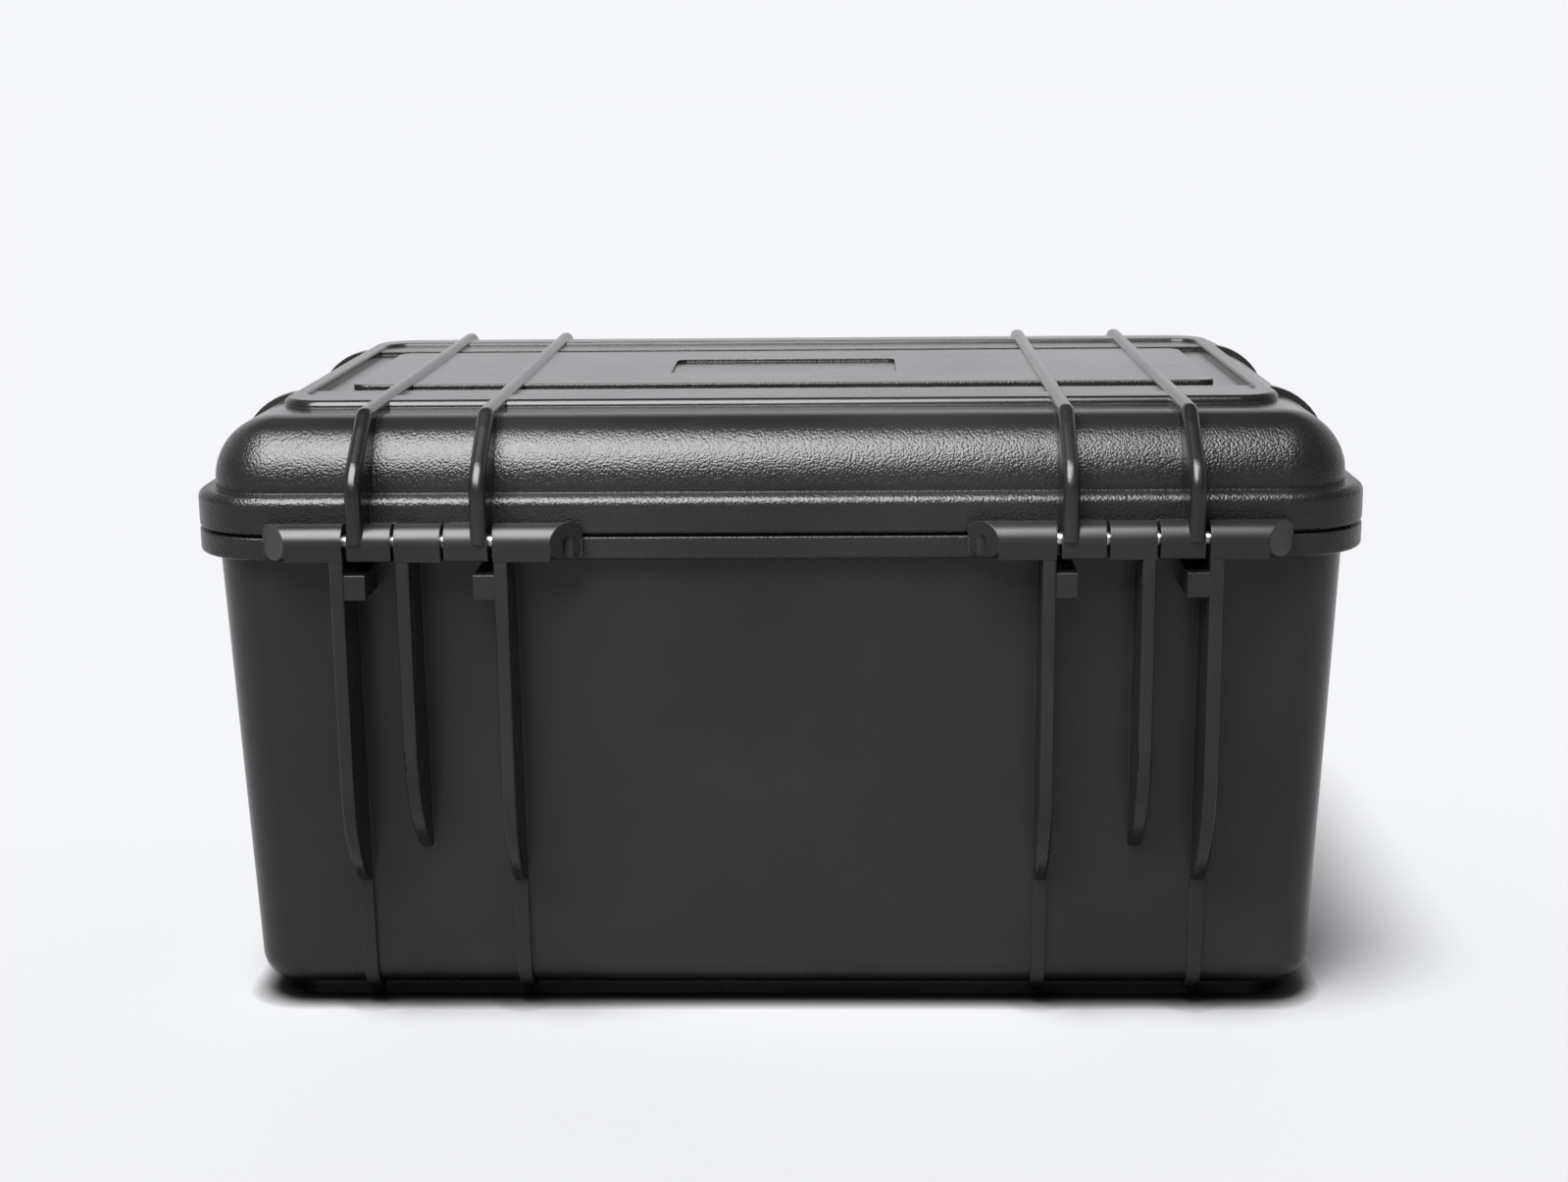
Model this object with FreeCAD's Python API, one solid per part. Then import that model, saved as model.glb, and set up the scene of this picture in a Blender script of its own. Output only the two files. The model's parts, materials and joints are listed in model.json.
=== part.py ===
import FreeCAD, Part
import math
import os

# A rigid instrument case. Front (latches and handle) faces -Y, the hinge is at +Y and +Z is up.
# The origin is the centre of the plinth's underside. Lengths are millimetres, angles are degrees.

# Whole case
case_width = 360.0
case_depth = 246.0
wall = 3.6
overrun = 1.0
embed = 1.5
soft_gap = 0.6
touch_share = 0.01

# Rims where lid and base meet
parting_height = 154.6
parting_gap = 0.8
rim_overhang = 5.5
rim_corner = 26.0
rim_edge_round = 1.2
base_rim_round = 0.3
base_rim_height = 7.0
lid_rim_height = 11.8
lid_rim_round = 3.0

# Base tub and its plinth
draft_share = 0.042
foot_height = 4.5
tub_bottom_round = 10.0
plinth_inset = 8.5
plinth_corner = 12.0
tub_rib_proud = 1.9
tub_rib_width = 4.2
side_rib_spacing = 114.0

# Lid dome, top frame and panel
lid_height = 33.5
dome_round = 19.5
lid_rib_proud = 3.8
lid_rib_width = 5.0
lid_rib_round = 2.2
rib_bend_rise = 8.2
rib_bend_round = 12.0
rib_shoulder_inset = 10.0
rib_front_inset = 28.0
rib_shoulder_round = 6.0
frame_side_inset = 22.0
frame_end_inset = 37.0
frame_width = 6.0
frame_proud = 2.4
frame_corner = 14.0
frame_round = 2.2
frame_inner_round = 0.9
frame_bead_width = 13.0
ledge_width = 31.5
ledge_proud = 1.4
panel_side_gap = 9.5
panel_end_gap = 9.7
panel_proud = 2.0
panel_corner = 5.0
panel_round = 0.6
plate_recess_length = 77.0
plate_recess_width = 39.0
plate_recess_depth = 1.0
plate_recess_corner = 4.0
seal_groove_width = 4.0
seal_groove_depth = 4.0
seal_groove_inset = 2.4
seal_height = 1.9
seal_side_gap = 0.3
tongue_width = 2.4
tongue_gap = 0.4

# Hinge
hinge_corner_inset = 74.0
hinge_standoff = 7.0
knuckle_radius = 5.5
knuckle_middle_length = 13.8
knuckle_lid_length = 13.1
knuckle_end_length = 17.2
knuckle_tip_length = 8.6
knuckle_tip_land = 1.0
knuckle_gap = 1.0
knuckle_outer_gap = 1.5
knuckle_rib_over = 0.9
knuckle_skirt_inset = 0.8
knuckle_skirt_round = 1.2
knuckle_web_drop = 1.4
hinge_pin_radius = 2.0
hinge_running_gap = 0.06
pin_end_margin = 10.3
pin_slot_length = 10.5
pin_slot_radius = 1.3

# Gussets below the hinge and beside the latches
gusset_width = 4.2
gusset_tip_height = 40.5
gusset_middle_tip_height = 52.5
gusset_nose_radius = 45.0
gusset_edge_round = 0.8
gusset_top_drop = 3.0
guard_toe_height = 92.0
guard_toe_proud = 4.2
guard_toe_drop = 7.0
guard_toe_round = 4.0
guard_proud = 7.0
guard_top_drop = 9.0
stop_height = 7.5
stop_drop = 9.6
stop_width = 6.3
stop_reach = 4.0

# Latches, drawn shut and then turned out to their released rest
latch_pin_standoff = 5.5
latch_pin_rise = 6.0
latch_ear_radius = 6.0
latch_pin_radius = 1.8
latch_running_gap = 0.05
latch_side_gap = 0.4
latch_released_angle = 12.0
arm_barrel_radius = 4.4
arm_plate_thickness = 4.0
hook_height = 4.6
hook_reach = 2.6
hook_gap = 0.4
lever_pin_forward = 6.1
lever_pin_drop = 11.0
lever_knuckle_radius = 4.0
lever_knuckle_half = 8.7
lever_knuckle_gap = 0.3
lever_overlap = 3.3
lever_neck_gap = 0.8
lever_plate_thickness = 3.4
lever_length = 41.0
lever_lip = 4.0
lever_lip_height = 8.0
lever_cheek_thickness = 2.4
lever_cheek_depth = 12.3
lever_cheek_height = 30.0
lever_cheek_drop = 5.2
lever_grip_count = 4
lever_grip_pitch = 5.0
lever_grip_height = 1.8
lever_grip_start_share = 0.5
lever_grip_proud = 0.9
lever_grip_half = 12.0
lever_edge_round = 1.0

# Carrying handle
handle_pivot_drop = 16.2
handle_pivot_standoff = 4.5
handle_lug_radius = 6.0
handle_lug_width = 5.0
handle_lug_flare = 8.0
handle_guard_gap = 8.0
handle_eye_radius = 5.5
handle_arm_width = 10.0
handle_arm_thickness = 9.0
handle_side_gap = 0.35
handle_drop = 46.0
handle_bar_height = 12.0
handle_bar_round = 3.0
handle_inner_round = 8.0
handle_pin_radius = 2.5
handle_running_gap = 0.06
grip_length = 84.0
grip_thickness = 2.0
grip_round = 4.0

# Purge valve
valve_height = 50.0
valve_boss_radius = 13.0
valve_boss_proud = 2.0
valve_inner_proud = 1.2
valve_flange_radius = 11.0
valve_flange_thickness = 3.0
valve_stem_radius = 6.0
valve_hole_gap = 0.2
valve_gasket_radius = 10.0
valve_gasket_thickness = 1.2
valve_nut_radius = 10.5
valve_nut_sides = 6
valve_nut_thickness = 5.0
valve_stem_past_nut = 1.5
valve_knob_radius = 8.0
valve_knob_thickness = 6.5
valve_knob_gap = 0.3
valve_knob_spindle_radius = 3.0
valve_spindle_gap = 0.05
valve_spindle_length = 8.0
valve_flute_count = 10
valve_flute_radius = 1.6
valve_foam_clearance = 4.0

# Padlock plates let into the front rims
lock_corner_inset = 34.0
lock_plate_thickness = 2.5
lock_plate_half = 9.0
lock_plate_embed = 6.0
lock_hole_standoff = 6.5
lock_hole_radius = 4.0
lock_seat_gap = 0.1
lock_base_drop = 2.5
lock_lid_rise = 5.2

# Foam
pad_thickness = 6.4
pad_side_gap = 0.5
foam_top_drop = 1.7
foam_bottom_round = 6.4
pocket_length = 184.0
pocket_width = 150.0
pocket_depth = 96.0
pocket_offset = -42.0
pocket_corner = 14.0
pocket_finger_radius = 20.0
side_pocket_length = 76.0
side_pocket_width = 150.0
side_pocket_depth = 62.0
side_pocket_gap = 18.0
lid_foam_rise = 1.0

# Worked out from the sizes above
half_width = case_width / 2
half_depth = case_depth / 2
body_half_width = half_width - rim_overhang
body_half_depth = half_depth - rim_overhang
body_corner = rim_corner - rim_overhang
base_top = parting_height - parting_gap / 2
base_rim_low = base_top - base_rim_height
lid_low = parting_height + parting_gap / 2
lid_rim_top = lid_low + lid_rim_height
lid_top_height = lid_low + lid_height
hinge_y = half_depth + hinge_standoff
hinge_z = parting_height
group_x = half_width - hinge_corner_inset
latch_y = -half_depth - latch_pin_standoff
latch_z = lid_low + latch_pin_rise
lever_y = latch_y - lever_pin_forward
lever_z = latch_z - lever_pin_drop
handle_y = -half_depth - handle_pivot_standoff
handle_z = base_rim_low - handle_pivot_drop
floor_z = foot_height + wall
x_axis = FreeCAD.Vector(1, 0, 0)
y_axis = FreeCAD.Vector(0, 1, 0)
z_axis = FreeCAD.Vector(0, 0, 1)
origin = FreeCAD.Vector(0, 0, 0)
nodes = {}


def vec(x, y, z):
    return FreeCAD.Vector(x, y, z)


def box(x_low, x_high, y_low, y_high, z_low, z_high):
    return Part.makeBox(x_high - x_low, y_high - y_low, z_high - z_low, vec(x_low, y_low, z_low))


def rod_x(x_low, x_high, y, z, radius):
    return Part.makeCylinder(radius, x_high - x_low, vec(x_low, y, z), x_axis)


def rod_y(y_low, y_high, x, z, radius):
    return Part.makeCylinder(radius, y_high - y_low, vec(x, y_low, z), y_axis)


def rod_z(z_low, z_high, x, y, radius):
    return Part.makeCylinder(radius, z_high - z_low, vec(x, y, z_low), z_axis)


def rounded_wire(half_x, half_y, radius, z):
    edges = []
    diagonal = radius * math.cos(math.pi / 4)
    corners = [(1, 1), (-1, 1), (-1, -1), (1, -1)]
    arcs = []
    for index, (side_x, side_y) in enumerate(corners):
        cx = side_x * (half_x - radius)
        cy = side_y * (half_y - radius)
        along_x = vec(side_x * half_x, cy, z)
        along_y = vec(cx, side_y * half_y, z)
        middle = vec(cx + side_x * diagonal, cy + side_y * diagonal, z)
        ends = (along_x, along_y) if index % 2 == 0 else (along_y, along_x)
        arcs.append((ends[0], middle, ends[1]))
    for index, (start, middle, end) in enumerate(arcs):
        following = arcs[(index + 1) % len(arcs)][0]
        edges.append(Part.Arc(start, middle, end).toShape())
        edges.append(Part.LineSegment(end, following).toShape())
    return Part.Wire(edges)


def rounded_block(half_x, half_y, radius, z_low, z_high):
    face = Part.Face(rounded_wire(half_x, half_y, radius, z_low))
    return face.extrude(vec(0, 0, z_high - z_low))


def drafted_block(half_x, half_y, radius, z_low, z_high, inset_low):
    low = rounded_wire(half_x - inset_low, half_y - inset_low, radius - inset_low, z_low)
    high = rounded_wire(half_x, half_y, radius, z_high)
    return Part.makeLoft([low, high], True, True)


def profile_x(points, x_low, x_high):
    corners = [vec(x_low, y, z) for y, z in points]
    return Part.Face(Part.makePolygon(corners + corners[:1])).extrude(vec(x_high - x_low, 0, 0))


def joined(shapes):
    return shapes[0].multiFuse(shapes[1:]).removeSplitter()


def cut_by(shape, tools):
    return shape.cut(tools).removeSplitter()


def level_edges(shape, z):
    near = wall * touch_share
    return [e for e in shape.Edges if abs(e.BoundBox.ZMin - z) + abs(e.BoundBox.ZMax - z) < near]


def both_sides(shapes):
    return shapes + [s.mirror(origin, x_axis) for s in shapes]


def turned_latch(shape):
    return shape.rotated(vec(0, latch_y, latch_z), x_axis, -latch_released_angle)


# Hinge layout, measured out from the middle of each hinge
middle_half = knuckle_middle_length / 2
lid_start = middle_half + knuckle_gap
lid_end = lid_start + knuckle_lid_length
end_start = lid_end + knuckle_outer_gap
end_stop = end_start + knuckle_end_length
hinge_half = end_stop + knuckle_tip_length
rib_offset = lid_end - lid_rib_width / 2
gusset_offset = end_start + gusset_width / 2
middle_gusset_offset = middle_half - gusset_width / 2
rib_places = [group_x - rib_offset, group_x + rib_offset]
gusset_places = [group_x - gusset_offset, group_x + gusset_offset]
base_spans = [(-end_stop, -end_start), (-middle_half, middle_half), (end_start, end_stop)]
lid_spans = [(-lid_end, -lid_start), (lid_start, lid_end)]


def wall_y(z):
    return body_half_depth - draft_share * (base_top - z)


def tub(grow):
    low = foot_height - grow
    inset = draft_share * (base_top - low)
    block = drafted_block(
        body_half_width + grow, body_half_depth + grow, body_corner + grow, low, base_top, inset
    )
    return block.makeFillet(tub_bottom_round + grow, level_edges(block, low))


def tub_cavity():
    inset = draft_share * (base_top - floor_z)
    block = drafted_block(
        body_half_width - wall, body_half_depth - wall, body_corner - wall, floor_z, base_top, inset
    )
    room = block.makeFillet(tub_bottom_round - wall, level_edges(block, floor_z))
    top = rounded_block(
        body_half_width - wall, body_half_depth - wall, body_corner - wall, base_top, lid_low + overrun
    )
    half_x, half_y = plinth_halves()
    sump = rounded_block(half_x - wall, half_y - wall, plinth_corner - wall, wall, floor_z + overrun)
    return joined([room, top, sump])


def plinth_halves():
    inset = draft_share * (base_top - foot_height) + plinth_inset
    return body_half_width - inset, body_half_depth - inset


def tub_ribs():
    half = tub_rib_width / 2
    slabs = []
    for x in gusset_places:
        slabs.append(box(x - half, x + half, -half_depth, half_depth, 0, base_rim_low + embed))
    slabs = both_sides(slabs)
    for y in (-side_rib_spacing / 2, side_rib_spacing / 2):
        slabs.append(box(-half_width, half_width, y - half, y + half, 0, base_rim_low + embed))
    return tub(tub_rib_proud).common(joined(slabs))


def base_rim():
    rim = rounded_block(half_width, half_depth, rim_corner, base_rim_low, base_top)
    rim = rim.makeFillet(rim_edge_round, level_edges(rim, base_rim_low))
    return rim.makeFillet(base_rim_round, level_edges(rim, base_top))


def rim_ring(outer_inset, width, z_low, z_high):
    outer = rounded_block(
        half_width - outer_inset, half_depth - outer_inset, rim_corner - outer_inset, z_low, z_high
    )
    inset = outer_inset + width
    inner = rounded_block(half_width - inset, half_depth - inset, rim_corner - inset, z_low, z_high)
    return outer.cut(inner)


def gusset(x, tip):
    top_z = hinge_z - gusset_top_drop
    face_y = hinge_y + math.sqrt(knuckle_radius**2 - gusset_top_drop**2)
    tip_y = wall_y(tip) - embed
    turn = math.acos(1 - (face_y - tip_y) / gusset_nose_radius)
    nose_z = tip + gusset_nose_radius * math.sin(turn)
    bow_y = face_y - gusset_nose_radius * (1 - math.cos(turn / 2))
    bow_z = nose_z - gusset_nose_radius * math.sin(turn / 2)
    low_x = x - gusset_width / 2
    nose = Part.Arc(vec(low_x, face_y, nose_z), vec(low_x, bow_y, bow_z), vec(low_x, tip_y, tip)).toShape()
    points = [(tip_y, tip), (body_half_depth - embed, base_rim_low + embed), (hinge_y, top_z)]
    points += [(face_y, top_z), (face_y, nose_z)]
    corners = [vec(low_x, y, z) for y, z in points]
    sides = [Part.LineSegment(start, end).toShape() for start, end in zip(corners, corners[1:])]
    fin = Part.Face(Part.Wire(sides + [nose])).extrude(vec(gusset_width, 0, 0))
    return fin.makeFillet(gusset_edge_round, [e for e in fin.Edges if is_nose(e, face_y)])


def is_nose(edge, face_y):
    place = edge.BoundBox
    near = gusset_width * touch_share
    flat = place.XMax - place.XMin < near
    outside = abs(place.YMax - face_y) < near
    return flat and outside and place.ZMax - place.ZMin > knuckle_radius


def guard(x):
    toe = guard_toe_height
    tail = toe - guard_toe_drop
    toe_point = (-wall_y(toe) - guard_toe_proud, toe)
    brow_point = (-half_depth - guard_proud, base_top - guard_top_drop)
    points = [(-half_depth + embed, base_top - rim_edge_round), brow_point]
    points += [toe_point, (-wall_y(tail) + embed, tail), (-body_half_depth + embed, base_rim_low)]
    fin = profile_x(points, x - gusset_width / 2, x + gusset_width / 2)
    corners = [vec(x, *brow_point), vec(x, *toe_point)]
    near = gusset_width * touch_share
    edges = [e for e in fin.Edges if min((e.CenterOfMass - c).Length for c in corners) < near]
    return fin.makeFillet(guard_toe_round, edges)


def knuckle_wire(x, radius):
    right = vec(x, hinge_y + radius, hinge_z)
    left = vec(x, hinge_y - radius, hinge_z)
    low_right = vec(x, hinge_y + radius - knuckle_skirt_inset, hinge_z - radius)
    low_left = vec(x, hinge_y - radius, hinge_z - radius)
    crown = Part.Arc(right, vec(x, hinge_y, hinge_z + radius), left).toShape()
    skirt = [left, low_left, low_right, right]
    sides = [Part.LineSegment(start, end).toShape() for start, end in zip(skirt, skirt[1:])]
    return Part.Wire([crown] + sides)


def knuckle_tip(side):
    stop_x = group_x + side * end_stop
    tip_x = group_x + side * hinge_half
    barrel = rod_x(min(stop_x, tip_x), max(stop_x, tip_x), hinge_y, hinge_z, knuckle_radius)
    near_y = hinge_y + knuckle_radius
    far_y = hinge_y - knuckle_radius + knuckle_tip_land
    low = hinge_z - knuckle_radius - overrun
    corners = [vec(stop_x, near_y, low), vec(tip_x, far_y, low), vec(tip_x + side * overrun, far_y, low)]
    corners += [vec(tip_x + side * overrun, near_y + overrun, low), vec(stop_x, near_y + overrun, low)]
    wedge = Part.Face(Part.makePolygon(corners + corners[:1]))
    return barrel.cut(wedge.extrude(vec(0, 0, knuckle_radius * 2 + overrun * 2)))


def base_hinge():
    parts = []
    knuckle_low = hinge_z - knuckle_radius
    for low, high in base_spans:
        barrel = Part.Face(knuckle_wire(group_x + low, knuckle_radius))
        parts.append(barrel.extrude(vec(high - low, 0, 0)))
        web = box(group_x + low, group_x + high, half_depth - embed, hinge_y, knuckle_low, base_top)
        parts.append(web)
    back_y = hinge_y - knuckle_radius + embed
    for side in (-1, 1):
        parts.append(knuckle_tip(side))
        low_x, high_x = sorted((group_x + side * end_start, group_x + side * hinge_half))
        parts.append(box(low_x, high_x, half_depth - embed, back_y, knuckle_low, base_top))
    for x in gusset_places:
        parts.append(gusset(x, gusset_tip_height))
    parts.append(gusset(group_x + middle_gusset_offset, gusset_middle_tip_height))
    stop_top = hinge_z - stop_drop
    for low, high in ((-end_start, stop_width - end_start), (end_start - stop_width, end_start)):
        block = box(
            group_x + low, group_x + high, body_half_depth - wall, hinge_y + stop_reach,
            stop_top - stop_height, stop_top
        )
        parts.append(block)
    return both_sides(parts)


def handle_layout():
    outer = group_x - gusset_offset - gusset_width / 2 - handle_guard_gap
    arm_outer = outer - handle_lug_width - handle_side_gap
    arm_inner = arm_outer - handle_arm_width
    inner = arm_inner - handle_side_gap
    return outer, arm_outer, arm_inner, inner


def handle_lugs():
    outer, arm_outer, arm_inner, inner = handle_layout()
    root_y = -wall_y(handle_z) + embed
    lug_low = handle_z - handle_lug_radius
    points = [(root_y, handle_z + handle_lug_flare), (handle_y, handle_z + handle_lug_radius)]
    points += [(handle_y, lug_low), (root_y, lug_low - handle_lug_flare)]
    parts = []
    for low, high in ((outer - handle_lug_width, outer), (inner - handle_lug_width, inner)):
        parts.append(profile_x(points, low, high))
        parts.append(rod_x(low, high, handle_y, handle_z, handle_lug_radius))
    return both_sides(parts)


def valve_seat_y():
    return -wall_y(valve_height) - valve_boss_proud


def valve_nut_y():
    return -wall_y(valve_height) + wall + valve_inner_proud


def lock_seats(z_low):
    x = half_width - lock_corner_inset
    half = lock_plate_half + lock_seat_gap
    inner_y = -half_depth + lock_plate_embed + lock_seat_gap
    z_high = z_low + lock_plate_thickness + lock_seat_gap
    seat = box(x - half, x + half, -half_depth - overrun, inner_y, z_low - lock_seat_gap, z_high)
    return both_sides([seat])


lock_base_low = base_top - lock_base_drop - lock_plate_thickness
lock_lid_low = lid_low + lock_lid_rise
seal_low = lid_low + seal_groove_depth - seal_height
tongue_inset = seal_groove_inset + (seal_groove_width - tongue_width) / 2


def base_shell():
    half_x, half_y = plinth_halves()
    plinth = rounded_block(half_x, half_y, plinth_corner, 0, floor_z)
    outer = [tub(0), plinth, base_rim(), tub_ribs()] + base_hinge() + handle_lugs()
    outer += both_sides([guard(x) for x in gusset_places])
    shell = joined(outer)
    boss = rod_y(valve_seat_y(), valve_nut_y(), 0, valve_height, valve_boss_radius)
    tongue = rim_ring(tongue_inset, tongue_width, base_top - embed, seal_low - tongue_gap)
    shell = joined([shell.cut(tub_cavity()), boss, tongue])
    outer_x, arm_outer, arm_inner, inner_x = handle_layout()
    pin_reach = hinge_half - pin_end_margin
    bore = rod_x(group_x - pin_reach, group_x + pin_reach, hinge_y, hinge_z, hinge_pin_radius)
    slot_end = group_x - hinge_half + pin_slot_length
    slot = box(
        group_x - hinge_half - overrun, slot_end, hinge_y - pin_slot_radius, hinge_y + pin_slot_radius,
        hinge_z - knuckle_radius - overrun, hinge_z
    )
    mouth = rod_x(group_x - hinge_half - overrun, slot_end, hinge_y, hinge_z, pin_slot_radius)
    handle_bore = rod_x(
        inner_x - handle_lug_width - overrun, outer_x + overrun, handle_y, handle_z, handle_pin_radius
    )
    holes = both_sides([bore, slot, mouth, handle_bore]) + lock_seats(lock_base_low)
    holes.append(
        rod_y(
            valve_seat_y() - overrun, valve_nut_y() + overrun, 0, valve_height,
            valve_stem_radius + valve_hole_gap
        )
    )
    return cut_by(shell, holes)


nodes["base_shell"] = base_shell()


def lid_body(grow):
    block = rounded_block(
        body_half_width + grow, body_half_depth + grow, body_corner + grow, lid_low, lid_top_height + grow
    )
    return block.makeFillet(dome_round + grow, level_edges(block, lid_top_height + grow))


def lid_rib(x):
    half = lid_rib_width / 2
    rear_y = hinge_y + knuckle_radius + knuckle_rib_over
    front_y = latch_y - latch_ear_radius
    ear_low = latch_z - latch_ear_radius
    rib_top = lid_top_height + lid_rib_proud
    bend_z = lid_rim_top + rib_bend_rise
    shoulder_y = half_depth - rib_shoulder_inset
    bends = [(rear_y, bend_z), (front_y, bend_z)]
    shoulders = [(shoulder_y, rib_top), (rib_front_inset - half_depth, rib_top)]
    points = [(half_depth - embed, lid_low), (hinge_y, lid_low), (rear_y, hinge_z), bends[0]]
    points += shoulders + [bends[1], (front_y, latch_z), (latch_y, ear_low)]
    points += [(-half_depth + embed, ear_low)]
    rib = profile_x(points, x - half, x + half)
    for corners, radius in ((bends, rib_bend_round), (shoulders, rib_shoulder_round)):
        rib = rib.makeFillet(radius, edges_at(rib, [vec(x, *c) for c in corners]))
    return rib.makeFillet(lid_rib_round, [e for e in rib.Edges if is_crest(e)])


def lid_ribs():
    return both_sides([lid_rib(x) for x in rib_places])


def edges_at(shape, places):
    near = wall * touch_share
    return [e for e in shape.Edges if min((e.CenterOfMass - p).Length for p in places) < near]


def is_crest(edge):
    place = edge.BoundBox
    return place.XMax - place.XMin < wall * touch_share and place.ZMax > lid_rim_top


def lid_side_ribs():
    half = tub_rib_width / 2
    inner_x = half_width - frame_side_inset - frame_width / 2
    skin = lid_body(tub_rib_proud)
    slab_top = lid_top_height + frame_proud
    slabs = []
    for y in (-side_rib_spacing / 2, side_rib_spacing / 2):
        slabs.append(box(inner_x, half_width, y - half, y + half, lid_rim_top - embed, slab_top))
    return [skin.common(s) for s in both_sides(slabs)]


def lid_rim():
    rim = rounded_block(half_width, half_depth, rim_corner, lid_low, lid_rim_top)
    rim = rim.makeFillet(rim_edge_round, level_edges(rim, lid_low))
    return rim.makeFillet(lid_rim_round, level_edges(rim, lid_rim_top))


def top_frame():
    half_x = half_width - frame_side_inset
    half_y = half_depth - frame_end_inset
    low = lid_top_height - embed
    high = lid_top_height + frame_proud
    outer = rounded_block(half_x, half_y, frame_corner, low, high)
    inner_corner = frame_corner - frame_width
    inner_x = half_x - frame_width
    inner_y = half_y - frame_bead_width
    inner = rounded_block(inner_x, inner_y, inner_corner, low, high)
    ring = outer.cut(inner)
    for block, radius in ((inner, frame_inner_round), (outer, frame_round)):
        ring = ring.makeFillet(radius, edges_at(ring, [e.CenterOfMass for e in level_edges(block, high)]))
    ledge_y = half_y - ledge_width
    ledge_top = lid_top_height + ledge_proud
    reach = inner_x + embed
    rear = box(-reach, reach, ledge_y, inner_y + embed, low, ledge_top)
    front = box(-reach, reach, -inner_y - embed, -ledge_y, low, ledge_top)
    return ring.multiFuse([rear, front])


def top_panel():
    half_x = half_width - frame_side_inset - frame_width - panel_side_gap
    half_y = half_depth - frame_end_inset - ledge_width - panel_end_gap
    high = lid_top_height + panel_proud
    panel = rounded_block(half_x, half_y, panel_corner, lid_top_height - embed, high)
    return panel.makeFillet(panel_round, level_edges(panel, high))


def lid_skirt(low, high):
    skirt_low = hinge_z - knuckle_radius
    toe_y = hinge_y + knuckle_radius - knuckle_skirt_inset
    points = [(hinge_y, hinge_z), (hinge_y, skirt_low), (toe_y, skirt_low)]
    points += [(hinge_y + knuckle_radius, hinge_z)]
    skirt = profile_x(points, low, high)
    toe = vec((low + high) / 2, toe_y, skirt_low)
    near = knuckle_radius * touch_share
    edges = [e for e in skirt.Edges if (e.CenterOfMass - toe).Length < near]
    return skirt.makeFillet(knuckle_skirt_round, edges)


def lid_hinge():
    parts = []
    for low, high in lid_spans:
        parts.append(rod_x(group_x + low, group_x + high, hinge_y, hinge_z, knuckle_radius))
        parts.append(lid_skirt(group_x + low, group_x + high))
        web_top = hinge_z + knuckle_radius - knuckle_web_drop
        parts.append(box(group_x + low, group_x + high, half_depth - embed, hinge_y, lid_low, web_top))
    return both_sides(parts)


def latch_ears():
    half = lid_rib_width / 2
    ears = [rod_x(x - half, x + half, latch_y, latch_z, latch_ear_radius) for x in rib_places]
    return both_sides(ears)


def lid_cavity():
    top = lid_top_height - wall
    block = rounded_block(
        body_half_width - wall, body_half_depth - wall, body_corner - wall, lid_low - overrun, top
    )
    return block.makeFillet(dome_round - wall, level_edges(block, top))


def lid_shell():
    outer = [lid_body(0), lid_rim(), top_frame(), top_panel()]
    outer += lid_ribs() + lid_side_ribs() + lid_hinge() + latch_ears()
    shell = joined(outer).cut(lid_cavity())
    half = lid_rib_width / 2
    bore_radius = hinge_pin_radius + hinge_running_gap
    bore = rod_x(group_x - lid_end, group_x + lid_end, hinge_y, hinge_z, bore_radius)
    ear_reach = rib_offset + half + overrun
    ear_bore = rod_x(group_x - ear_reach, group_x + ear_reach, latch_y, latch_z, latch_pin_radius)
    recess_low = lid_top_height + panel_proud - plate_recess_depth
    recess_top = lid_top_height + frame_proud
    recess = rounded_block(
        plate_recess_length / 2, plate_recess_width / 2, plate_recess_corner, recess_low, recess_top
    )
    groove = rim_ring(seal_groove_inset, seal_groove_width, lid_low - overrun, lid_low + seal_groove_depth)
    return cut_by(shell, both_sides([bore, ear_bore]) + lock_seats(lock_lid_low) + [recess, groove])


def hinge_pin():
    reach = hinge_half - pin_end_margin
    return rod_x(group_x - reach, group_x + reach, hinge_y, hinge_z, hinge_pin_radius)


def lock_plate(z_low):
    x = half_width - lock_corner_inset
    hole_y = -half_depth - lock_hole_standoff
    z_high = z_low + lock_plate_thickness
    tongue = box(
        x - lock_plate_half, x + lock_plate_half, hole_y, -half_depth + lock_plate_embed, z_low, z_high
    )
    ear = rod_z(z_low, z_high, x, hole_y, lock_plate_half)
    hole = rod_z(z_low - overrun, z_high + overrun, x, hole_y, lock_hole_radius)
    return cut_by(joined([tongue, ear]), [hole])


nodes["lid_shell"] = lid_shell()
seal_width = seal_groove_width - seal_side_gap * 2
nodes["lid_seal"] = rim_ring(seal_groove_inset + seal_side_gap, seal_width, seal_low, seal_low + seal_height)
for node, shape in (
    ("hinge_pin", hinge_pin()),
    ("lock_plate_base", lock_plate(lock_base_low)),
    ("lock_plate_lid", lock_plate(lock_lid_low)),
):
    nodes[node + "_right"] = shape
    nodes[node + "_left"] = shape.mirror(origin, x_axis)


# Latch pieces, each drawn about the middle of its hinge group
arm_half = rib_offset - lid_rib_width / 2 - latch_side_gap
lever_half = arm_half + lever_overlap
arm_front = latch_y - arm_plate_thickness / 2
arm_back = latch_y + arm_plate_thickness / 2
hook_top = base_rim_low - hook_gap
hook_low = hook_top - hook_height
lever_front = lever_y - lever_knuckle_radius
lever_back = lever_front + lever_plate_thickness
lever_top = lever_z - lever_knuckle_radius - lever_neck_gap
lever_low = lever_top - lever_length


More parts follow.
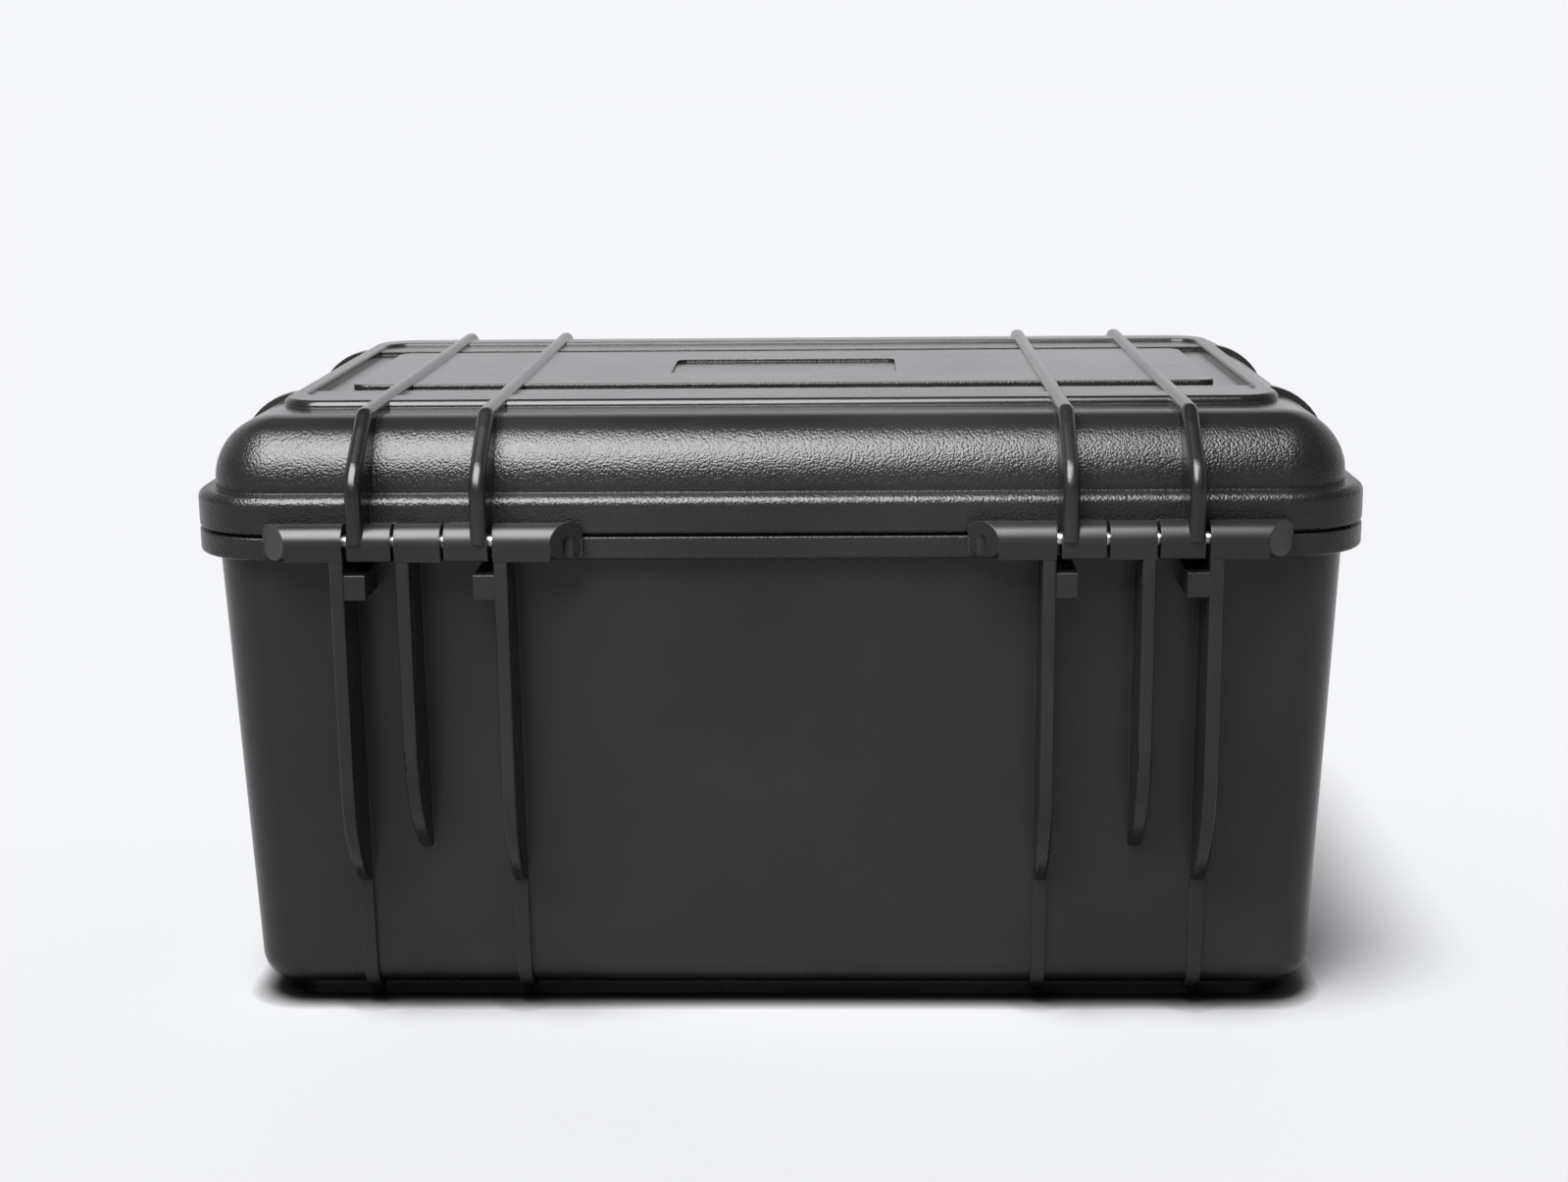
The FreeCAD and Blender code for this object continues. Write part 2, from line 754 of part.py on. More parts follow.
def latch_arm():
    low_x = group_x - arm_half
    high_x = group_x + arm_half
    parts = [rod_x(low_x, high_x, latch_y, latch_z, arm_barrel_radius)]
    parts.append(box(low_x, high_x, arm_front, arm_back, hook_low, latch_z))
    parts.append(box(low_x, high_x, arm_front, -half_depth + hook_reach, hook_low, hook_top))
    inner = lever_knuckle_half + lever_knuckle_gap
    for low, high in ((-arm_half, -inner), (inner, arm_half)):
        lug_low = lever_z - lever_knuckle_radius
        lug_high = lever_z + lever_knuckle_radius
        parts.append(rod_x(group_x + low, group_x + high, lever_y, lever_z, lever_knuckle_radius))
        parts.append(box(group_x + low, group_x + high, lever_y, arm_back, lug_low, lug_high))
    arm = joined(parts)
    bore_radius = latch_pin_radius + latch_running_gap
    upper = rod_x(low_x - overrun, high_x + overrun, latch_y, latch_z, bore_radius)
    lower = rod_x(low_x - overrun, high_x + overrun, lever_y, lever_z, latch_pin_radius)
    return turned_latch(cut_by(arm, [upper, lower]))


def latch_lever():
    points = [(lever_back, lever_top), (lever_front, lever_top), (lever_front, lever_low + lever_lip_height)]
    points += [(lever_front - lever_lip, lever_low), (lever_back - lever_lip, lever_low)]
    points += [(lever_back, lever_low + lever_lip_height)]
    plate = profile_x(points, group_x - lever_half, group_x + lever_half)
    front_limit = lever_front + lever_plate_thickness * touch_share
    fronts = [e for e in plate.Edges if e.BoundBox.YMax < front_limit]
    plate = plate.makeFillet(lever_edge_round, fronts)
    neck_low = group_x - lever_knuckle_half
    neck_high = group_x + lever_knuckle_half
    parts = [plate, rod_x(neck_low, neck_high, lever_y, lever_z, lever_knuckle_radius)]
    parts.append(box(neck_low, neck_high, lever_front, lever_y, lever_top - embed, lever_z))
    cheek_top = lever_top - lever_cheek_drop
    cheek_inner = lever_half - lever_cheek_thickness
    for low, high in ((-lever_half, -cheek_inner), (cheek_inner, lever_half)):
        cheek = box(
            group_x + low, group_x + high, lever_back - embed, lever_back + lever_cheek_depth,
            cheek_top - lever_cheek_height, cheek_top
        )
        parts.append(cheek)
    for row in range(lever_grip_count):
        z = lever_low + lever_lip_height + lever_grip_pitch * (row + lever_grip_start_share)
        bar = box(
            group_x - lever_grip_half, group_x + lever_grip_half, lever_front - lever_grip_proud, lever_back,
            z, z + lever_grip_height
        )
        parts.append(bar)
    lever = joined(parts)
    bore = rod_x(
        neck_low - overrun, neck_high + overrun, lever_y, lever_z, latch_pin_radius + latch_running_gap
    )
    return turned_latch(cut_by(lever, [bore]))


def latch_pin_upper():
    reach = rib_offset + lid_rib_width / 2
    return rod_x(group_x - reach, group_x + reach, latch_y, latch_z, latch_pin_radius)


def latch_pin_lower():
    return turned_latch(rod_x(group_x - arm_half, group_x + arm_half, lever_y, lever_z, latch_pin_radius))


def handle_frame():
    outer, arm_outer, arm_inner, inner = handle_layout()
    half = handle_arm_thickness / 2
    low_z = handle_z - handle_drop - handle_bar_height / 2
    inner_z = low_z + handle_bar_height
    y_low = handle_y - half
    y_high = handle_y + half
    slab = box(-arm_outer, arm_outer, y_low, y_high, low_z, handle_z)
    window = box(-arm_inner, arm_inner, y_low - overrun, y_high + overrun, inner_z, handle_z + overrun)
    near = wall * touch_share
    window_floor = [
        e for e in window.Edges
        if e.BoundBox.ZMax < inner_z + near and e.BoundBox.XMax - e.BoundBox.XMin < near
    ]
    frame = slab.cut(window.makeFillet(handle_inner_round, window_floor))
    corners = [
        e for e in frame.Edges
        if e.BoundBox.ZMax < low_z + near and e.BoundBox.XMax - e.BoundBox.XMin < near
    ]
    frame = frame.makeFillet(handle_inner_round, corners)
    skirts = [
        e for e in frame.Edges
        if e.BoundBox.YMax - e.BoundBox.YMin < near and e.BoundBox.ZMin < handle_z - near
    ]
    frame = frame.makeFillet(handle_bar_round, skirts)
    eye = rod_x(arm_inner, arm_outer, handle_y, handle_z, handle_eye_radius)
    bore = rod_x(
        arm_inner - overrun, arm_outer + overrun, handle_y, handle_z, handle_pin_radius + handle_running_gap
    )
    return cut_by(joined([frame] + both_sides([eye])), both_sides([bore]))


def handle_grip(frame):
    half_y = handle_arm_thickness / 2 + grip_thickness
    half_z = handle_bar_height / 2 + grip_thickness
    centre_z = handle_z - handle_drop
    half_x = grip_length / 2
    sleeve = box(
        -half_x, half_x, handle_y - half_y, handle_y + half_y, centre_z - half_z, centre_z + half_z
    )
    long_edges = [e for e in sleeve.Edges if e.BoundBox.XMax - e.BoundBox.XMin > half_x]
    return sleeve.makeFillet(grip_round, long_edges).cut(frame)


def handle_pin():
    outer, arm_outer, arm_inner, inner = handle_layout()
    return rod_x(inner - handle_lug_width, outer, handle_y, handle_z, handle_pin_radius)


for node, shape in (
    ("latch_arm", latch_arm()), ("latch_lever", latch_lever()), ("latch_pin_upper", latch_pin_upper()),
    ("latch_pin_lower", latch_pin_lower()), ("handle_pin", handle_pin())
):
    nodes[node + "_right"] = shape
    nodes[node + "_left"] = shape.mirror(origin, x_axis)
nodes["handle_frame"] = handle_frame()
nodes["handle_grip"] = handle_grip(nodes["handle_frame"])


# Purge valve, along Y through the front wall
flange_back = valve_seat_y() - valve_gasket_thickness
flange_front = flange_back - valve_flange_thickness
knob_back = flange_front - valve_knob_gap
knob_front = knob_back - valve_knob_thickness
nut_front = valve_nut_y()
stem_end = nut_front + valve_nut_thickness + valve_stem_past_nut


def valve_body():
    flange = rod_y(flange_front, flange_back, 0, valve_height, valve_flange_radius)
    stem = rod_y(flange_back, stem_end, 0, valve_height, valve_stem_radius)
    bore_radius = valve_knob_spindle_radius + valve_spindle_gap
    bore = rod_y(flange_front - overrun, stem_end + overrun, 0, valve_height, bore_radius)
    return cut_by(joined([flange, stem]), [bore])


def valve_gasket():
    ring = rod_y(flange_back, valve_seat_y(), 0, valve_height, valve_gasket_radius)
    return ring.cut(rod_y(flange_back, valve_seat_y(), 0, valve_height, valve_stem_radius))


def valve_nut():
    corners = []
    for turn in range(valve_nut_sides):
        angle = 2 * math.pi * turn / valve_nut_sides
        x = valve_nut_radius * math.cos(angle)
        corners.append(vec(x, nut_front, valve_height + valve_nut_radius * math.sin(angle)))
    block = Part.Face(Part.makePolygon(corners + corners[:1])).extrude(vec(0, valve_nut_thickness, 0))
    return block.cut(rod_y(nut_front, nut_front + valve_nut_thickness, 0, valve_height, valve_stem_radius))


def valve_knob():
    knob = rod_y(knob_front, knob_back, 0, valve_height, valve_knob_radius)
    spindle = rod_y(knob_back, knob_back + valve_spindle_length, 0, valve_height, valve_knob_spindle_radius)
    flutes = []
    for turn in range(valve_flute_count):
        angle = 2 * math.pi * turn / valve_flute_count
        x = valve_knob_radius * math.cos(angle)
        z = valve_height + valve_knob_radius * math.sin(angle)
        flutes.append(rod_y(knob_front - overrun, knob_back + overrun, x, z, valve_flute_radius))
    return joined([knob.cut(flutes), spindle])


nodes["valve_body"] = valve_body()
nodes["valve_gasket"] = valve_gasket()
nodes["valve_nut"] = valve_nut()
nodes["valve_knob"] = valve_knob()


# Foam lining
pad_top = wall + pad_thickness
foam_top = base_top - foam_top_drop
pocket_floor = foam_top - pocket_depth


def floor_pad():
    half_x, half_y = plinth_halves()
    inset = wall + pad_side_gap
    return rounded_block(half_x - inset, half_y - inset, plinth_corner - inset, wall, pad_top)


def moved(shape, x):
    shape.translate(vec(x, 0, 0))
    return shape


def base_foam():
    inset = wall + soft_gap + draft_share * (base_top - foam_top)
    taper = draft_share * (foam_top - pad_top)
    block = drafted_block(
        body_half_width - inset, body_half_depth - inset, body_corner - inset, pad_top, foam_top, taper
    )
    block = block.makeFillet(foam_bottom_round, level_edges(block, pad_top))
    above = foam_top + overrun
    pocket = rounded_block(pocket_length / 2, pocket_width / 2, pocket_corner, pocket_floor, above)
    scoop_floor = foam_top - pocket_depth / 2
    scoops = []
    for edge_y in (-pocket_width / 2, pocket_width / 2):
        scoops.append(rod_z(scoop_floor, above, pocket_offset, edge_y, pocket_finger_radius))
    side_x = pocket_offset + pocket_length / 2 + side_pocket_gap + side_pocket_length / 2
    side_pocket = rounded_block(
        side_pocket_length / 2, side_pocket_width / 2, pocket_corner, foam_top - side_pocket_depth, above
    )
    relief_radius = valve_nut_radius + valve_foam_clearance
    relief = rod_y(-half_depth, stem_end + valve_foam_clearance, 0, valve_height, relief_radius)
    return cut_by(block, [moved(pocket, pocket_offset), moved(side_pocket, side_x), relief] + scoops)


def lid_foam():
    inset = wall + soft_gap
    top = lid_top_height - inset
    block = rounded_block(
        body_half_width - inset, body_half_depth - inset, body_corner - inset, lid_low + lid_foam_rise, top
    )
    return block.makeFillet(dome_round - inset, level_edges(block, top))


nodes["base_floor_pad"] = floor_pad()
nodes["base_foam"] = base_foam()
nodes["lid_foam"] = lid_foam()


os.makedirs("parts", exist_ok=True)
for name, shape in nodes.items():
    shape.exportStep("parts/" + name + ".step")
    print(name, len(shape.Solids), shape.isValid())
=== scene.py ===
import bmesh
import bpy
import json
import math
from mathutils import Matrix, Vector

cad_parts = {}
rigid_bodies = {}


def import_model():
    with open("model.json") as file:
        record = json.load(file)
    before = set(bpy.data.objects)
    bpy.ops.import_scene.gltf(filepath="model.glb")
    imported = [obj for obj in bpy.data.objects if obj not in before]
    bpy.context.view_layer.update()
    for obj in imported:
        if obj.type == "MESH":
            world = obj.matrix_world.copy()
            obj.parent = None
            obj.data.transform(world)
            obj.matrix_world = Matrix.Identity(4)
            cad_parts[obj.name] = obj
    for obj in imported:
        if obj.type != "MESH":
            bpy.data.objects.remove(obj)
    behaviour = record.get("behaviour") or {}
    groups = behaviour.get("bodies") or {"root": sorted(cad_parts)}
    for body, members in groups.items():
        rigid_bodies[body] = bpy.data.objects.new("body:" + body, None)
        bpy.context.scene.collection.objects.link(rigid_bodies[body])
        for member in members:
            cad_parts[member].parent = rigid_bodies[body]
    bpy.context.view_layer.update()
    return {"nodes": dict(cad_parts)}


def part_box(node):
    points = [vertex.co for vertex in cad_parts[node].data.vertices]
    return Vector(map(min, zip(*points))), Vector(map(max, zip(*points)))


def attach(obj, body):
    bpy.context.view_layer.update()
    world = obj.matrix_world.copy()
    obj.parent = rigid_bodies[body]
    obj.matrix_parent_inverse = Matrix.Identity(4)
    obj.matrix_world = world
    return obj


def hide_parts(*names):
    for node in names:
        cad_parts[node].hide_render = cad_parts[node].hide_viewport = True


for spare in list(bpy.data.objects):
    bpy.data.objects.remove(spare)
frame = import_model()
mm = 0.001
weld = 0.01 * mm
rimFace = 123.0 * mm


# Node trees: a Wire is one output socket, and sums of wires add Math nodes

class Wire:
    def __init__(self, nodes, socket):
        self.nodes = nodes
        self.socket = socket

    def calc(self, operation, *terms):
        return self.nodes.add("ShaderNodeMath", {"operation": operation}, dict(enumerate(terms)))

    def __add__(self, other):
        return self.calc("ADD", self, other)

    def __radd__(self, other):
        return self.calc("ADD", other, self)

    def __sub__(self, other):
        return self.calc("SUBTRACT", self, other)

    def __rsub__(self, other):
        return self.calc("SUBTRACT", other, self)

    def __mul__(self, other):
        return self.calc("MULTIPLY", self, other)

    def __rmul__(self, other):
        return self.calc("MULTIPLY", other, self)

    def __truediv__(self, other):
        return self.calc("DIVIDE", self, other)

    def __rtruediv__(self, other):
        return self.calc("DIVIDE", other, self)

    def __abs__(self):
        return self.calc("ABSOLUTE", self)

    def root(self):
        return self.calc("SQRT", self)

    def wave(self):
        return self.calc("COSINE", self)

    def sign(self):
        return self.calc("SIGN", self)

    def least(self, other):
        return self.calc("MINIMUM", self, other)

    def most(self, other):
        return self.calc("MAXIMUM", self, other)

    def rise(self, low, high):  # 0 below low, 1 above high, smooth between
        sockets = {"Value": self, "From Min": low, "From Max": high}
        return self.nodes.add("ShaderNodeMapRange", {"interpolation_type": "SMOOTHSTEP"}, sockets)

    def also(self, name):  # another output of the same node
        return Wire(self.nodes, self.socket.node.outputs[name])


class Nodes:
    def __init__(self, tree):
        self.tree = tree

    def add(self, kind, settings=None, sockets=None, output=0):
        made = self.tree.nodes.new(kind)
        for name, value in (settings or {}).items():
            setattr(made, name, value)
        for name, value in (sockets or {}).items():
            if isinstance(value, list):
                for wire in value:
                    self.tree.links.new(wire.socket, made.inputs[name])
            elif isinstance(value, Wire):
                self.tree.links.new(value.socket, made.inputs[name])
            else:
                made.inputs[name].default_value = value
        return Wire(self, made.outputs[output]) if made.outputs else made

    def tint(self, factor, first, second):
        sockets = {0: factor, 6: first, 7: second}
        return self.add("ShaderNodeMix", {"data_type": "RGBA"}, sockets, 2)

    def noise(self, where, scale, detail=2.0, roughness=0.5):
        sockets = {"Vector": where, "Scale": scale, "Detail": detail, "Roughness": roughness}
        return self.add("ShaderNodeTexNoise", {}, sockets)

    def stretched(self, where, scale):
        return self.add("ShaderNodeMapping", {}, {"Vector": where, "Scale": scale})

    def bump(self, height, strength, distance, normal=None):
        sockets = {"Strength": strength, "Distance": distance, "Height": height}
        if normal:
            sockets["Normal"] = normal
        return self.add("ShaderNodeBump", {}, sockets)


def newFinish(name):
    material = bpy.data.materials.new(name)
    material.use_nodes = True
    material.node_tree.nodes.clear()
    nodes = Nodes(material.node_tree)
    where = nodes.add("ShaderNodeTexCoord", {}, {}, "Object")
    return material, nodes, where


def coat(nodes, sockets):
    shader = nodes.add("ShaderNodeBsdfPrincipled", {}, sockets)
    nodes.add("ShaderNodeOutputMaterial", {}, {"Surface": shader})


def dress(material, *names):
    for name in names:
        mesh = frame["nodes"][name].data
        mesh.materials.clear()
        mesh.materials.append(material)


def between(value, low, high, soft):
    return value.rise(low - soft, low) * (1 - value.rise(high, high + soft))


# Worn edges: where the rounded normal leaves the face's own

edgeSamples = 4


def edgeWear(nodes, where, make):
    rounded = nodes.add("ShaderNodeBevel", {"samples": edgeSamples}, {"Radius": make["edgeRadius"]})
    facing = nodes.add("ShaderNodeNewGeometry", {}, {}, "Normal")
    settings = {"operation": "DOT_PRODUCT"}
    agree = nodes.add("ShaderNodeVectorMath", settings, {0: rounded, 1: facing}, "Value")
    patches = nodes.noise(where, make["wearScale"], 3.0).rise(*make["wearPatches"])
    return rounded, facing, (1 - agree).rise(*make["wearTurn"]) * patches


# Moulded case plastic: satin on walls and ribs, pebble grain on the dome, rims and panel

casePlastic = {
    "colour": (0.0050, 0.0050, 0.0053, 1),
    "paleColour": (0.011, 0.011, 0.0115, 1),
    "paleShare": 0.6,
    "cloudScale": 11,
    "cloudRange": (0.35, 0.75),
    "cloudDull": 0.16,
    "edgeColour": (0.040, 0.040, 0.041, 1),
    "edgeShare": 0.6,
    "edgeRadius": 0.55 * mm,
    "wearScale": 90,
    "wearPatches": (0.35, 0.75),
    "wearTurn": (0.02, 0.22),
    "wearDull": 0.08,
    "scuffStretch": (240, 240, 24),
    "scuffRange": (0.62, 0.80),
    "scuffDull": 0.06,
    "satin": 0.27,
    "satinHeight": 0.006 * mm,
    "speckScale": 700,
    "speckDull": 0.12,
    "grainRoughness": 0.28,
    "pebble": 0.74 * mm,
    "pebbleHeight": 0.115 * mm,
    "pebbleWander": 0.7 * mm,
    "wanderShare": 0.35,
    "pebbleSmooth": 0.45,
    "pebbleDepth": 1.15,
    "fineShare": 2.3,
    "fineDepth": 0.35,
    "steepRange": (0.35, 0.75),
    "soft": 0.4 * mm,
    "knuckleDull": 0.10,
    "levelGloss": 0.07,
}
plasticGloss = 0.31


def pebbleHeight(nodes, where):
    make = casePlastic
    wander = nodes.noise(where, make["wanderShare"] / make["pebble"], 1.0).also("Color")
    settings = {"operation": "SCALE"}
    shift = nodes.add("ShaderNodeVectorMath", settings, {0: wander, "Scale": make["pebbleWander"]})
    bent = nodes.add("ShaderNodeVectorMath", {"operation": "ADD"}, {0: where, 1: shift})
    settings = {"feature": "SMOOTH_F1"}
    sockets = {"Vector": bent, "Scale": 1 / make["pebble"], "Smoothness": make["pebbleSmooth"]}
    cells = nodes.add("ShaderNodeTexVoronoi", settings, sockets)
    fine = nodes.noise(where, make["fineShare"] / make["pebble"], 2.0)
    return 1 - cells * make["pebbleDepth"] + fine * make["fineDepth"]


def mouldedFinish(name, surfaceOf):
    make = casePlastic
    material, nodes, where = newFinish(name)
    place = nodes.add("ShaderNodeSeparateXYZ", {}, {"Vector": where})
    x = abs(place)
    y = place.also("Y")
    z = place.also("Z")
    rounded, facing, worn = edgeWear(nodes, where, make)
    tilt = nodes.add("ShaderNodeSeparateXYZ", {}, {"Vector": facing}, "Z")
    grain, dulling = surfaceOf(x, y, z, 1 - abs(tilt).rise(*make["steepRange"]))
    clouds = nodes.noise(where, make["cloudScale"], 4.0, 0.55)
    specks = nodes.noise(where, make["speckScale"], 2.0)
    scuffs = nodes.noise(nodes.stretched(where, make["scuffStretch"]), 1, 3.0).rise(*make["scuffRange"])
    pale = clouds.rise(*make["cloudRange"]) * make["paleShare"]
    colour = nodes.tint(pale, make["colour"], make["paleColour"])
    colour = nodes.tint(worn * make["edgeShare"], colour, make["edgeColour"])
    smooth = make["satin"] + dulling + (clouds - 0.5) * make["cloudDull"]
    smooth = smooth + scuffs * make["scuffDull"] + worn * make["wearDull"]
    pebbled = make["grainRoughness"] + (specks - 0.5) * make["speckDull"]
    height = pebbleHeight(nodes, where) * grain * make["pebbleHeight"] + specks * make["satinHeight"]
    coat(nodes, {
        "Base Color": colour,
        "Roughness": smooth + (pebbled - smooth) * grain,
        "Normal": nodes.bump(height, 1.0, 1.0, rounded),
        "IOR": 1.46,
        "Specular IOR Level": plasticGloss,
    })
    return material


lidLow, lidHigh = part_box("lid_shell")
lidForm = {
    "knuckleTop": lidLow.z + 11.5 * mm,
    "knuckleFade": 2.0 * mm,
    "rimReach": rimFace + 0.4 * mm,
    "flatTop": lidHigh.z - 3.8 * mm,
    "levelDrop": (1.5 * mm, 0.5 * mm),
    "ribPlaces": (87.5 * mm, 124.5 * mm),
    "ribHalf": 2.5 * mm,
    "sideRib": 57.0 * mm,
    "sideRibHalf": 2.1 * mm,
    "domeDrop": (4.8 * mm, 1.6 * mm),
    "stepReach": 56.0 * mm,
    "frameInner": 150.0 * mm,
}


def lidSurface(x, y, z, steep):
    form = lidForm
    soft = casePlastic["soft"]
    side = abs(y)
    top = form["flatTop"]
    rib, half = form["sideRib"], form["sideRibHalf"]
    mask = 1 - between(side, rib - half, rib + half, soft)
    for rib in form["ribPlaces"]:
        mask = mask * (1 - between(x, rib - form["ribHalf"], rib + form["ribHalf"], soft))
    rim = 1 - side.rise(form["rimReach"], form["rimReach"] + soft)
    dome = 1 - z.rise(top - form["domeDrop"][0], top - form["domeDrop"][1])
    within = 1 - side.rise(form["stepReach"], form["stepReach"] + soft)
    within = within * (1 - x.rise(form["frameInner"], form["frameInner"] + soft))
    step = z.rise(top - soft, top) * steep * within
    grain = mask * rim * dome.most(step)
    knuckle = y.rise(form["rimReach"], form["rimReach"] + soft)
    knuckle = knuckle * (1 - z.rise(form["knuckleTop"], form["knuckleTop"] + form["knuckleFade"]))
    level = z.rise(top - form["levelDrop"][0], top - form["levelDrop"][1])
    return grain, knuckle * casePlastic["knuckleDull"] - level * casePlastic["levelGloss"]


baseRimLow = 147.2 * mm


def baseSurface(x, y, z, steep):
    soft = casePlastic["soft"]
    face = rimFace + soft
    high = z.rise(baseRimLow - soft, baseRimLow)
    grain = high * (1 - abs(y).rise(face, face + soft))
    return grain, high * y.rise(face, face + soft) * casePlastic["knuckleDull"]


dress(mouldedFinish("lidPlastic", lidSurface), "lid_shell")
dress(mouldedFinish("basePlastic", baseSurface), "base_shell")
print("case plastic: lid and base")


# Latches, handle and valve: a plain plastic, a little duller than the shells

fittingPlastic = {
    "colour": (0.009, 0.009, 0.010, 1),
    "edgeColour": (0.05, 0.05, 0.05, 1),
    "edgeShare": 0.7,
    "edgeRadius": 0.45 * mm,
    "wearScale": 140,
    "wearPatches": (0.3, 0.7),
    "wearTurn": (0.02, 0.25),
    "roughness": 0.36,
    "cloudScale": 28,
    "cloudDull": 0.15,
    "textureScale": 1500,
    "texture": 0.05 * mm,
}


def fittingFinish():
    make = fittingPlastic
    material, nodes, where = newFinish("fittingPlastic")
    rounded, facing, worn = edgeWear(nodes, where, make)
    clouds = nodes.noise(where, make["cloudScale"], 3.0)
    sparks = nodes.noise(where, make["textureScale"], 2.0)
    coat(nodes, {
        "Base Color": nodes.tint(worn * make["edgeShare"], make["colour"], make["edgeColour"]),
        "Roughness": make["roughness"] + (clouds - 0.5) * make["cloudDull"],
        "Normal": nodes.bump(sparks * make["texture"], 1.0, 1.0, rounded),
        "IOR": 1.48,
        "Specular IOR Level": plasticGloss,
    })
    return material


def bothSides(*parts):
    return [part + side for part in parts for side in ("_left", "_right")]


fittings = bothSides("latch_arm", "latch_lever")
dress(fittingFinish(), "handle_frame", "valve_body", "valve_nut", "valve_knob", *fittings)


# Steel pins and padlock plates, brushed along X

steel = {
    "colour": (0.56, 0.56, 0.57, 1),
    "dullColour": (0.36, 0.36, 0.37, 1),
    "cloudScale": 60,
    "cloudRange": (0.4, 0.8),
    "roughness": 0.22,
    "brushStretch": (60, 2600, 2600),
    "brushDull": 0.16,
    "brushHeight": 0.02 * mm,
}


def steelFinish():
    make = steel
    material, nodes, where = newFinish("brushedSteel")
    brushed = nodes.noise(nodes.stretched(where, make["brushStretch"]), 1, 3.0)
    clouds = nodes.noise(where, make["cloudScale"], 3.0).rise(*make["cloudRange"])
    coat(nodes, {
        "Base Color": nodes.tint(clouds, make["colour"], make["dullColour"]),
        "Metallic": 1.0,
        "Roughness": make["roughness"] + brushed * make["brushDull"],
        "Normal": nodes.bump(brushed, 0.5, make["brushHeight"]),
    })
    return material


steelPins = bothSides("hinge_pin", "handle_pin", "latch_pin_upper", "latch_pin_lower")
lockPlates = bothSides("lock_plate_base", "lock_plate_lid")
dress(steelFinish(), *steelPins, *lockPlates)


# Rubber: the lid's seal, the valve's gasket and the handle's grip

rubber = {
    "colour": (0.014, 0.014, 0.014, 1),
    "dustColour": (0.05, 0.05, 0.05, 1),
    "dustShare": 0.5,
    "dustScale": 55,
    "dustRange": (0.45, 0.8),
    "roughness": 0.72,
    "gritScale": 1800,
    "gritDull": 0.2,
    "gritHeight": 0.06 * mm,
}


def rubberFinish():
    make = rubber
    material, nodes, where = newFinish("softRubber")
    dust = nodes.noise(where, make["dustScale"], 4.0, 0.6).rise(*make["dustRange"])
    grit = nodes.noise(where, make["gritScale"], 2.0)
    coat(nodes, {
        "Base Color": nodes.tint(dust * make["dustShare"], make["colour"], make["dustColour"]),
        "Roughness": make["roughness"] + (grit - 0.5) * make["gritDull"],
        "Normal": nodes.bump(grit, 0.6, make["gritHeight"]),
    })
    return material


rubberMaterial = rubberFinish()
dress(rubberMaterial, "lid_seal", "valve_gasket", "handle_grip")
print("fittings, steel and rubber")


# Foam lining, with painted shade in its pits

foam = {
    "colour": (0.018, 0.018, 0.019, 1),
    "paleColour": (0.040, 0.040, 0.042, 1),
    "cell": 0.9 * mm,
    "pitRange": (0.05, 0.7),
    # how dark the painted shade in the pits is
    "pitShadeShare": 0.5,
    "pitDepth": 0.5 * mm,
    "cloudScale": 35,
    "cloudShare": 0.4,
    "cloudDull": 0.1,
    "roughness": 0.92,
    "gloss": 0.2,
}


def foamFinish():
    make = foam
    material, nodes, where = newFinish("openFoam")
    sockets = {"Vector": where, "Scale": 1 / make["cell"]}
    cells = nodes.add("ShaderNodeTexVoronoi", {"feature": "F1"}, sockets)
    clouds = nodes.noise(where, make["cloudScale"], 3.0)
    pits = cells.rise(*make["pitRange"])
    # painted shade: the pits are darker than the ridges, and the clouds add a random tone
    dark = pits * make["pitShadeShare"] + clouds * make["cloudShare"]
    coat(nodes, {
        "Base Color": nodes.tint(dark, make["paleColour"], make["colour"]),
        "Roughness": make["roughness"] + (clouds - 0.5) * make["cloudDull"],
        "Normal": nodes.bump(1 - pits, 0.9, make["pitDepth"]),
        "Specular IOR Level": make["gloss"],
    })
    return material


foamMaterial = foamFinish()


# A piece from a node tree: the result becomes a plain mesh, and the modifier goes

def plantTree(name, inputs):
    tree = bpy.data.node_groups.new(name, "GeometryNodeTree")
    for label, kind in inputs.items():
        tree.interface.new_socket(label, in_out="INPUT", socket_type=kind)
    tree.interface.new_socket("Geometry", in_out="OUTPUT", socket_type="NodeSocketGeometry")
    return tree, Nodes(tree)


def grow(tree, name, values):
    piece = bpy.data.objects.new(name, bpy.data.meshes.new(name))
    bpy.context.scene.collection.objects.link(piece)
    modifier = piece.modifiers.new("shape", "NODES")
    modifier.node_group = tree
    for socket in tree.interface.items_tree:
        if socket.in_out == "INPUT":
            modifier[socket.identifier] = values[socket.name]
    return settle(piece)


def settle(piece):
    bpy.context.view_layer.update()
    shaped = piece.evaluated_get(bpy.context.evaluated_depsgraph_get())
    mesh = bpy.data.meshes.new_from_object(shaped)
    piece.modifiers.clear()
    piece.data = mesh
    mesh.name = piece.name
    return piece


# Soft slab: a rounded sheet of foam with a crowned top and peaks below

slabInputs = ("Half X", "Half Y", "Corner", "Low", "High", "Crown", "Edge", "Pitch", "Depth", "Margin")
slabMake = {"steps": (190, 128), "calmHeight": 0.4, "calmShare": 0.5, "marginShare": 0.3}


